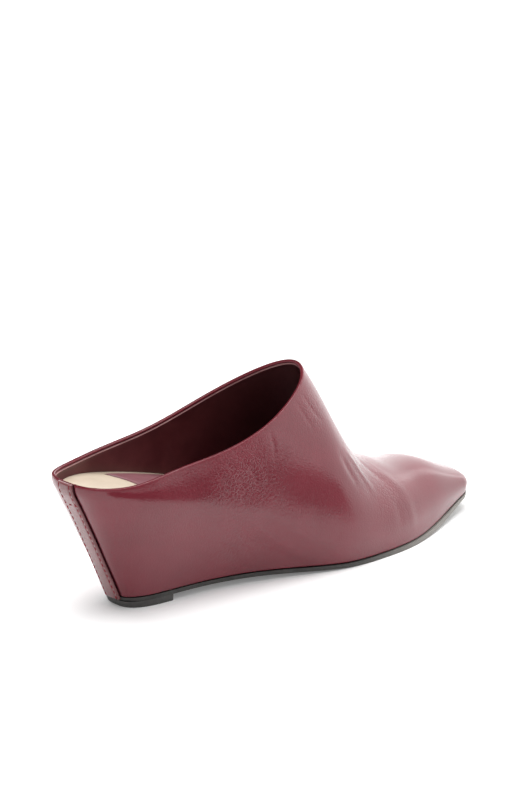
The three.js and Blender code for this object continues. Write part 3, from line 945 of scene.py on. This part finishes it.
def glossy_leather(name, deep, pale):
    """Crinkled glossy leather with fine grain, mottled colour and a painted shadow line along the seam.
    """
    finish = Finish(name, 0.42, coat=0.9, coat_roughness=0.10)
    finish.shader.inputs["Specular IOR Level"].default_value = 0.12
    cloud = finish.noise(CLOUD_SIZE, 3)
    fleck = finish.noise(FLECK_SIZE, 3)
    tone = finish.blend(finish.span(cloud, 0.15, 0.85), deep, pale)
    tone = finish.blend(finish.scaled(finish.span(fleck, 0.3, 0.8), FLECK_STRENGTH), tone, deep)
    finish.colour(finish.blend(finish.attribute("seam_shade"), tone, SEAM_SHADOW_COLOUR))
    finish.rough(finish.span(cloud, 0.0, 1.0, *GLOSS_ROUGHNESS))
    push = finish.node("ShaderNodeVectorMath", {"operation": "SCALE"}, Scale=WANDER * MM)
    finish.feed(push.inputs[0], finish.noise(WANDER_SIZE, 2, "Color"))
    wandering = finish.math("ADD", finish.place, push.outputs[0], "ShaderNodeVectorMath")
    folds = finish.span(finish.cells(FOLD_CELLS, wandering), 0.0, FOLD_EDGE)
    fine = finish.span(finish.cells(FINE_CELLS, wandering), 0.0, FINE_EDGE)
    crinkle = finish.math("ADD", finish.scaled(folds, FOLD_SHARE), finish.scaled(fine, 1 - FOLD_SHARE))
    worked = finish.math("MULTIPLY", crinkle, finish.attribute("crinkle"))
    grain = finish.cells(GRAIN_CELLS, feature="F1")
    finish.bumps((worked, CRINKLE_DEPTH), (grain, GRAIN_DEPTH))
    return finish.material


def plain_leather(name, deep, pale, roughness, grain_size, grain_depth, shine=0.5, toe=None):
    """Satin leather with an even grain; towards the toe it can take a darker colour, painted shade deep
    inside the toe.
    """
    finish = Finish(name, roughness, SATIN_COAT * shine, SATIN_COAT_ROUGHNESS)
    finish.shader.inputs["Specular IOR Level"].default_value = shine
    tone = finish.blend(finish.span(finish.noise(14, 4), 0.3, 0.7), deep, pale)
    if toe:
        tone = finish.blend(finish.ahead(*LINING_SHADE_FROM_TO), tone, toe)
    pores = finish.cells(grain_size)
    finish.colour(finish.blend(finish.span(pores, 0.0, 0.12, 0.35, 0.0), tone, deep))
    finish.rough(finish.span(finish.noise(5, 3), 0.2, 0.8, roughness - 0.07, roughness + 0.07))
    finish.bumps((pores, grain_depth), (finish.noise(grain_size * 0.5, 3), grain_depth * 0.5))
    return finish.material


def moulded_rubber(name, deep, pale, toe=None):
    """Dull dark rubber; towards the toe it can turn paler."""
    finish = Finish(name, 0.62)
    tone = finish.blend(finish.span(finish.noise(8, 4), 0.3, 0.7), deep, pale)
    if toe:
        tone = finish.blend(finish.ahead(*PALE_FROM_TO), tone, toe)
    finish.colour(tone)
    finish.rough(finish.span(finish.noise(3, 3), 0.2, 0.8, 0.5, 0.72))
    finish.bumps((finish.noise(0.7, 4), 0.04))
    return finish.material


def pressed_cork(name):
    finish = Finish(name, 0.85)
    grains = finish.cells(2.4, feature="F1")
    finish.colour(finish.blend(finish.scaled(grains, 1.2), CORK_PALE, CORK_DARK))
    finish.bumps((grains, 0.15))
    return finish.material


BURGUNDY, BURGUNDY_PALE = (0.128, 0.009, 0.018), (0.166, 0.014, 0.026)
leather = glossy_leather("crinkled_glossy_leather", BURGUNDY, BURGUNDY_PALE)
strip_leather = glossy_leather("strip_leather", (0.14, 0.035, 0.040), (0.23, 0.085, 0.090))
# The lining darkens towards the toe: painted shade inside the toe box
lining = plain_leather("lining_leather", (0.085, 0.014, 0.017), (0.125, 0.028, 0.030), 0.4, 1.2, 0.04,
                       toe=(0.045, 0.012, 0.013))
lining_edge = plain_leather("lining_edge", (0.50, 0.24, 0.25), (0.60, 0.32, 0.32), 0.5, 0.8, 0.02)
rim = plain_leather("rim_leather", (0.070, 0.003, 0.008), (0.11, 0.005, 0.012), 0.7, 0.8, 0.02,
                    shine=0.08)
# Near-black painted shade in the recess between the folded topline and the lining edge
painted_groove_shade = plain_leather("groove_shade", (0.010, 0.002, 0.003), (0.016, 0.003, 0.004), 0.8, 0.8, 0.02,
                       shine=0.1)
beige = plain_leather("insole_leather", (0.42, 0.345, 0.262), (0.485, 0.405, 0.315), 0.5, 1.1, 0.03)
mauve = plain_leather("panel_leather", (0.15, 0.050, 0.062), (0.20, 0.075, 0.088), 0.45, 1.1, 0.04)
thread = plain_leather("seam_thread", (0.17, 0.005, 0.012), (0.24, 0.008, 0.018), 0.7, 0.4, 0.03,
                       shine=0.2)
sole_rubber = moulded_rubber("sole_rubber", (0.032, 0.030, 0.028), (0.050, 0.048, 0.044),
                             toe=(0.24, 0.225, 0.205))
lift_rubber = moulded_rubber("lift_rubber", (0.054, 0.052, 0.050), (0.076, 0.074, 0.070))
cork = pressed_cork("wedge_cork")

# ---------------------------------------------------------------- the pieces in the frame

upper_shape = make_upper()
upper_points = np.concatenate(upper_shape.points)
low_corner, high_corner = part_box("upper")
SHIFT = np.array([
    high_corner.x / MM - LENGTH,
    (low_corner.y + high_corner.y) / 2 / MM - (upper_points[:, 1].min() + upper_points[:, 1].max()) / 2,
    0.0,
])
upper_marks = {"crinkle": crinkle_marks(upper_points), "seam_shade": seam_shade(upper_points)}
upper_finishes = [leather, lining_edge, lining, painted_groove_shade, rim]
upper = upper_shape.piece("mule_upper", upper_finishes, SHIFT, upper_marks)
dress(upper, "upper_leather", "upper")

strip_shape, strip_line, strip_normals, strip_height, strip_run = make_back_strip()
strip_marks = np.full(sum(len(block) for block in strip_shape.points), STRIP_CRINKLE)
back_strip = strip_shape.piece("heel_strip", [strip_leather], SHIFT, {"crinkle": strip_marks})
dress(back_strip, "strip_leather", "back_strip")
stitches = make_stitches(strip_line, strip_normals, strip_height, strip_run, SHIFT, thread)
dress(stitches, "strip_leather")

insole = bevelled(make_insole().piece("footbed", [beige], SHIFT), INSOLE_BEVEL)
dress(insole, "insole_leather", "insole")
sock_panel = make_sock_panel().piece("footbed_panel", [mauve], SHIFT)
dress(sock_panel, "panel_leather", "sock_panel")
outsole = bevelled(make_outsole().piece("thin_sole", [sole_rubber], SHIFT), SOLE_BEVEL)
dress(outsole, "sole_rubber", "outsole")
top_lift = bevelled(make_top_lift().piece("heel_lift", [lift_rubber], SHIFT), LIFT_BEVEL)
dress(top_lift, "lift_rubber", "top_lift")

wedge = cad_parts["wedge"]
for place in wedge.material_slots:
    place.material = cork

# ---------------------------------------------------------------- floor, light and camera

FLOOR_REACH = 16.0
FLOOR_GLOW, NEAR_GLOW = 0.85, 0.16
GLOW_START, GLOW_FULL = 0.6, 2.0
WORLD_GLOW = 0.32


def flat_sheet(name, corners, finish):
    """A flat sheet of the studio with one finish."""
    mesh = bpy.data.meshes.new(name)
    mesh.from_pydata(corners, [], [(0, 1, 2, 3)])
    mesh.materials.append(finish.material)
    sheet = bpy.data.objects.new(name, mesh)
    bpy.context.scene.collection.objects.link(sheet)
    return sheet


white = Finish("studio_white", 0.9)
white.colour((0.82, 0.82, 0.82, 1.0))
white.shader.inputs["Emission Color"].default_value = (1, 1, 1, 1)
reach = white.node("ShaderNodeVectorMath", {"operation": "LENGTH"}, Vector=white.place).outputs["Value"]
white.feed(white.shader.inputs["Emission Strength"],
           white.span(reach, GLOW_START, GLOW_FULL, NEAR_GLOW, FLOOR_GLOW))
floor_corners = [(x * FLOOR_REACH, y * FLOOR_REACH, 0) for x, y in ((-1, -1), (1, -1), (1, 1), (-1, 1))]
floor = flat_sheet("studio_floor", floor_corners, white)

world = bpy.data.worlds.new("studio_air")
world.use_nodes = True
air = world.node_tree.nodes["Background"]
air.inputs["Color"].default_value = (1, 1, 1, 1)
air.inputs["Strength"].default_value = WORLD_GLOW
bpy.context.scene.world = world
bpy.context.scene.view_settings.view_transform = "Standard"


def soft_light(name, place, target, size, power):
    lamp = bpy.data.lights.new(name, "AREA")
    lamp.shape, lamp.size, lamp.size_y, lamp.energy = "RECTANGLE", size[0], size[1], power
    made = bpy.data.objects.new(name, lamp)
    made.location = place
    made.rotation_euler = (Vector(target) - Vector(place)).to_track_quat("-Z", "Y").to_euler()
    bpy.context.scene.collection.objects.link(made)


soft_light("overhead_light", (0.0, 0.1, 1.05), (0, 0, 0), (1.1, 1.1), 21.0)
soft_light("back_light", (1.5, 2.0, 0.8), (0, 0, 0.3), (4.6, 1.7), 30.0)
soft_light("toe_light", (1.8, -0.75, 0.85), (0, 0, 0.1), (3.2, 1.9), 25.0)

# A low dark card beside the near side, for glossy reflections only, deepens the gloss there
CARD_MIDDLE, CARD_TURN, CARD_SIZE = (-0.01, -0.160, 0.0005), -6.0, (0.34, 0.047)
CARD_DARK, CARD_PALE, CARD_FROM_TO = (0.01, 0.01, 0.01), (0.22, 0.22, 0.22), (-0.03, 0.05)
card_turn = math.radians(CARD_TURN)
card_way = Vector((math.cos(card_turn), math.sin(card_turn), 0)) * CARD_SIZE[0] / 2
card_foot = Vector(CARD_MIDDLE)
card_top = card_foot + Vector((0, 0, CARD_SIZE[1]))
card_finish = Finish("dark_card", 0.9)
card_finish.colour(card_finish.blend(card_finish.ahead(*CARD_FROM_TO), CARD_DARK, CARD_PALE))
card_corners = [card_foot - card_way, card_foot + card_way, card_top + card_way, card_top - card_way]
card = flat_sheet("dark_card", card_corners, card_finish)
card.visible_camera = card.visible_diffuse = card.visible_shadow = False

# The camera, as fitted to the photograph: angles in degrees, distance and target in millimetres
AZIMUTH, ELEVATION, ROLL = -42.71, 17.25, -0.56
DISTANCE = 974.0
TARGET = np.array([125.0, 0.0, 40.0])
TARGET_PIXEL = (279.69, 474.62)
IMAGE = (520, 800)
FOCAL_PIXELS = 2074.6
SENSOR = 36.0


def place_camera():
    a, e, r = (math.radians(angle) for angle in (AZIMUTH, ELEVATION, ROLL))
    back = Vector((math.sin(a) * math.cos(e), -math.cos(a) * math.cos(e), math.sin(e)))
    right = Vector((math.cos(a), math.sin(a), 0))
    up = back.cross(right)
    level_right = right * math.cos(r) - up * math.sin(r)
    level_up = right * math.sin(r) + up * math.cos(r)
    axes = Matrix((level_right, level_up, back)).transposed()
    ahead = Vector((TARGET_PIXEL[0] - IMAGE[0] / 2, IMAGE[1] / 2 - TARGET_PIXEL[1], -FOCAL_PIXELS))
    turn = Vector((0, 0, -1)).rotation_difference(ahead).to_matrix()
    lens = bpy.data.cameras.new("studio_camera")
    lens.sensor_width = SENSOR
    lens.lens = FOCAL_PIXELS * SENSOR / max(IMAGE)
    lens.clip_start, lens.clip_end = 0.05, 50.0
    camera = bpy.data.objects.new("studio_camera", lens)
    place = Vector((TARGET + SHIFT) * MM) + back * DISTANCE * MM
    camera.matrix_world = Matrix.Translation(place) @ (axes @ turn.transposed()).to_4x4()
    bpy.context.scene.collection.objects.link(camera)
    bpy.context.scene.camera = camera


place_camera()
